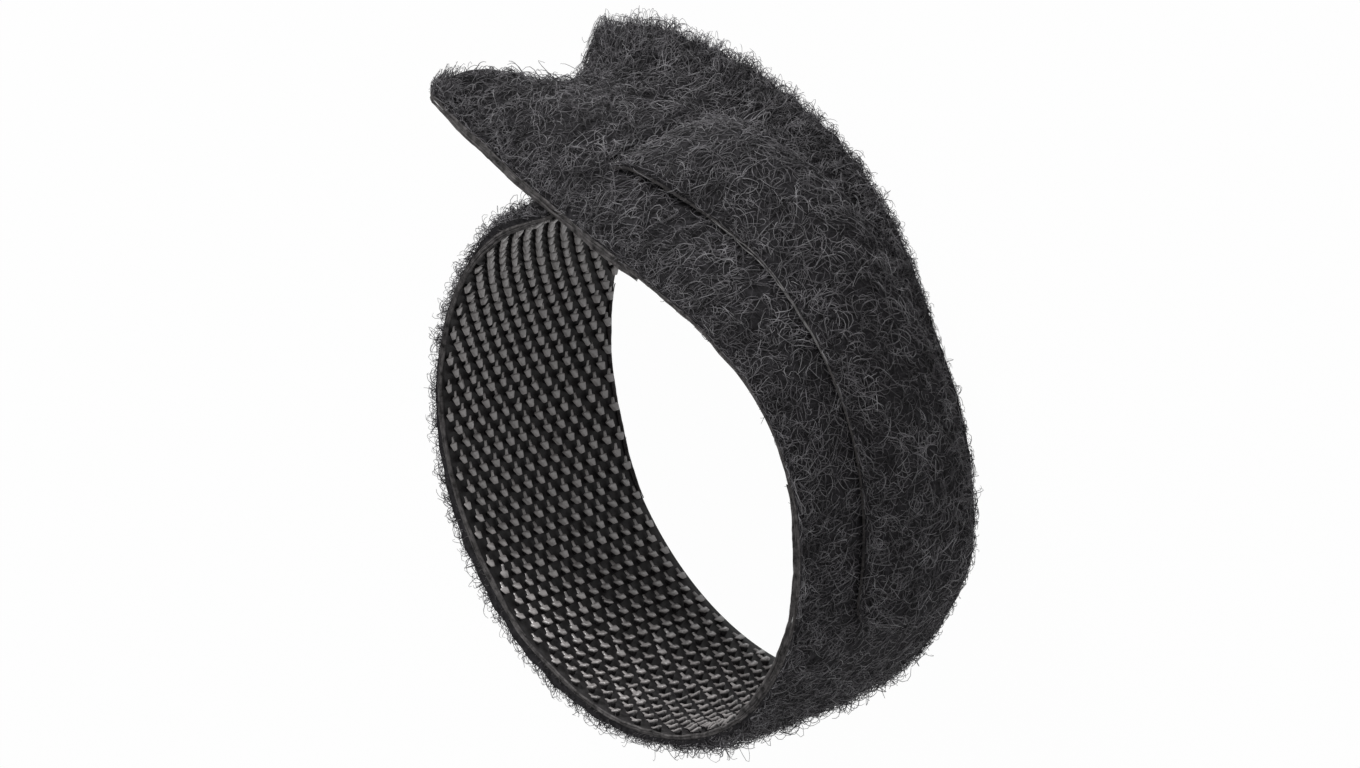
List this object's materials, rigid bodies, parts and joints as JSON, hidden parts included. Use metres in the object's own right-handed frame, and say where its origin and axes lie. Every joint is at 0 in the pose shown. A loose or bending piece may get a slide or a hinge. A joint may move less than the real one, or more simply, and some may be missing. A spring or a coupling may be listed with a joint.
{
  "type": "hook and loop cable tie",
  "caption": "Reusable fabric cable tie: one strap with loop pile outside and moulded hooks inside, closed into a ring through the slot in its own head.",
  "frame": {"origin": "under the middle of the closed tie's bounding box, on the surface that its edge stands on", "axes": "+Z along the ring's axis, up through the bundle's space; +Y towards the head's free end"},
  "size_m": [0.05, 0.0606, 0.019],
  "materials": {
    "black_hook_and_loop": "matte napped pile outside, satin moulded hooks inside"
  },
  "bodies": {
    "root": {"tie_strap": "black_hook_and_loop"}
  },
  "joints": []
}
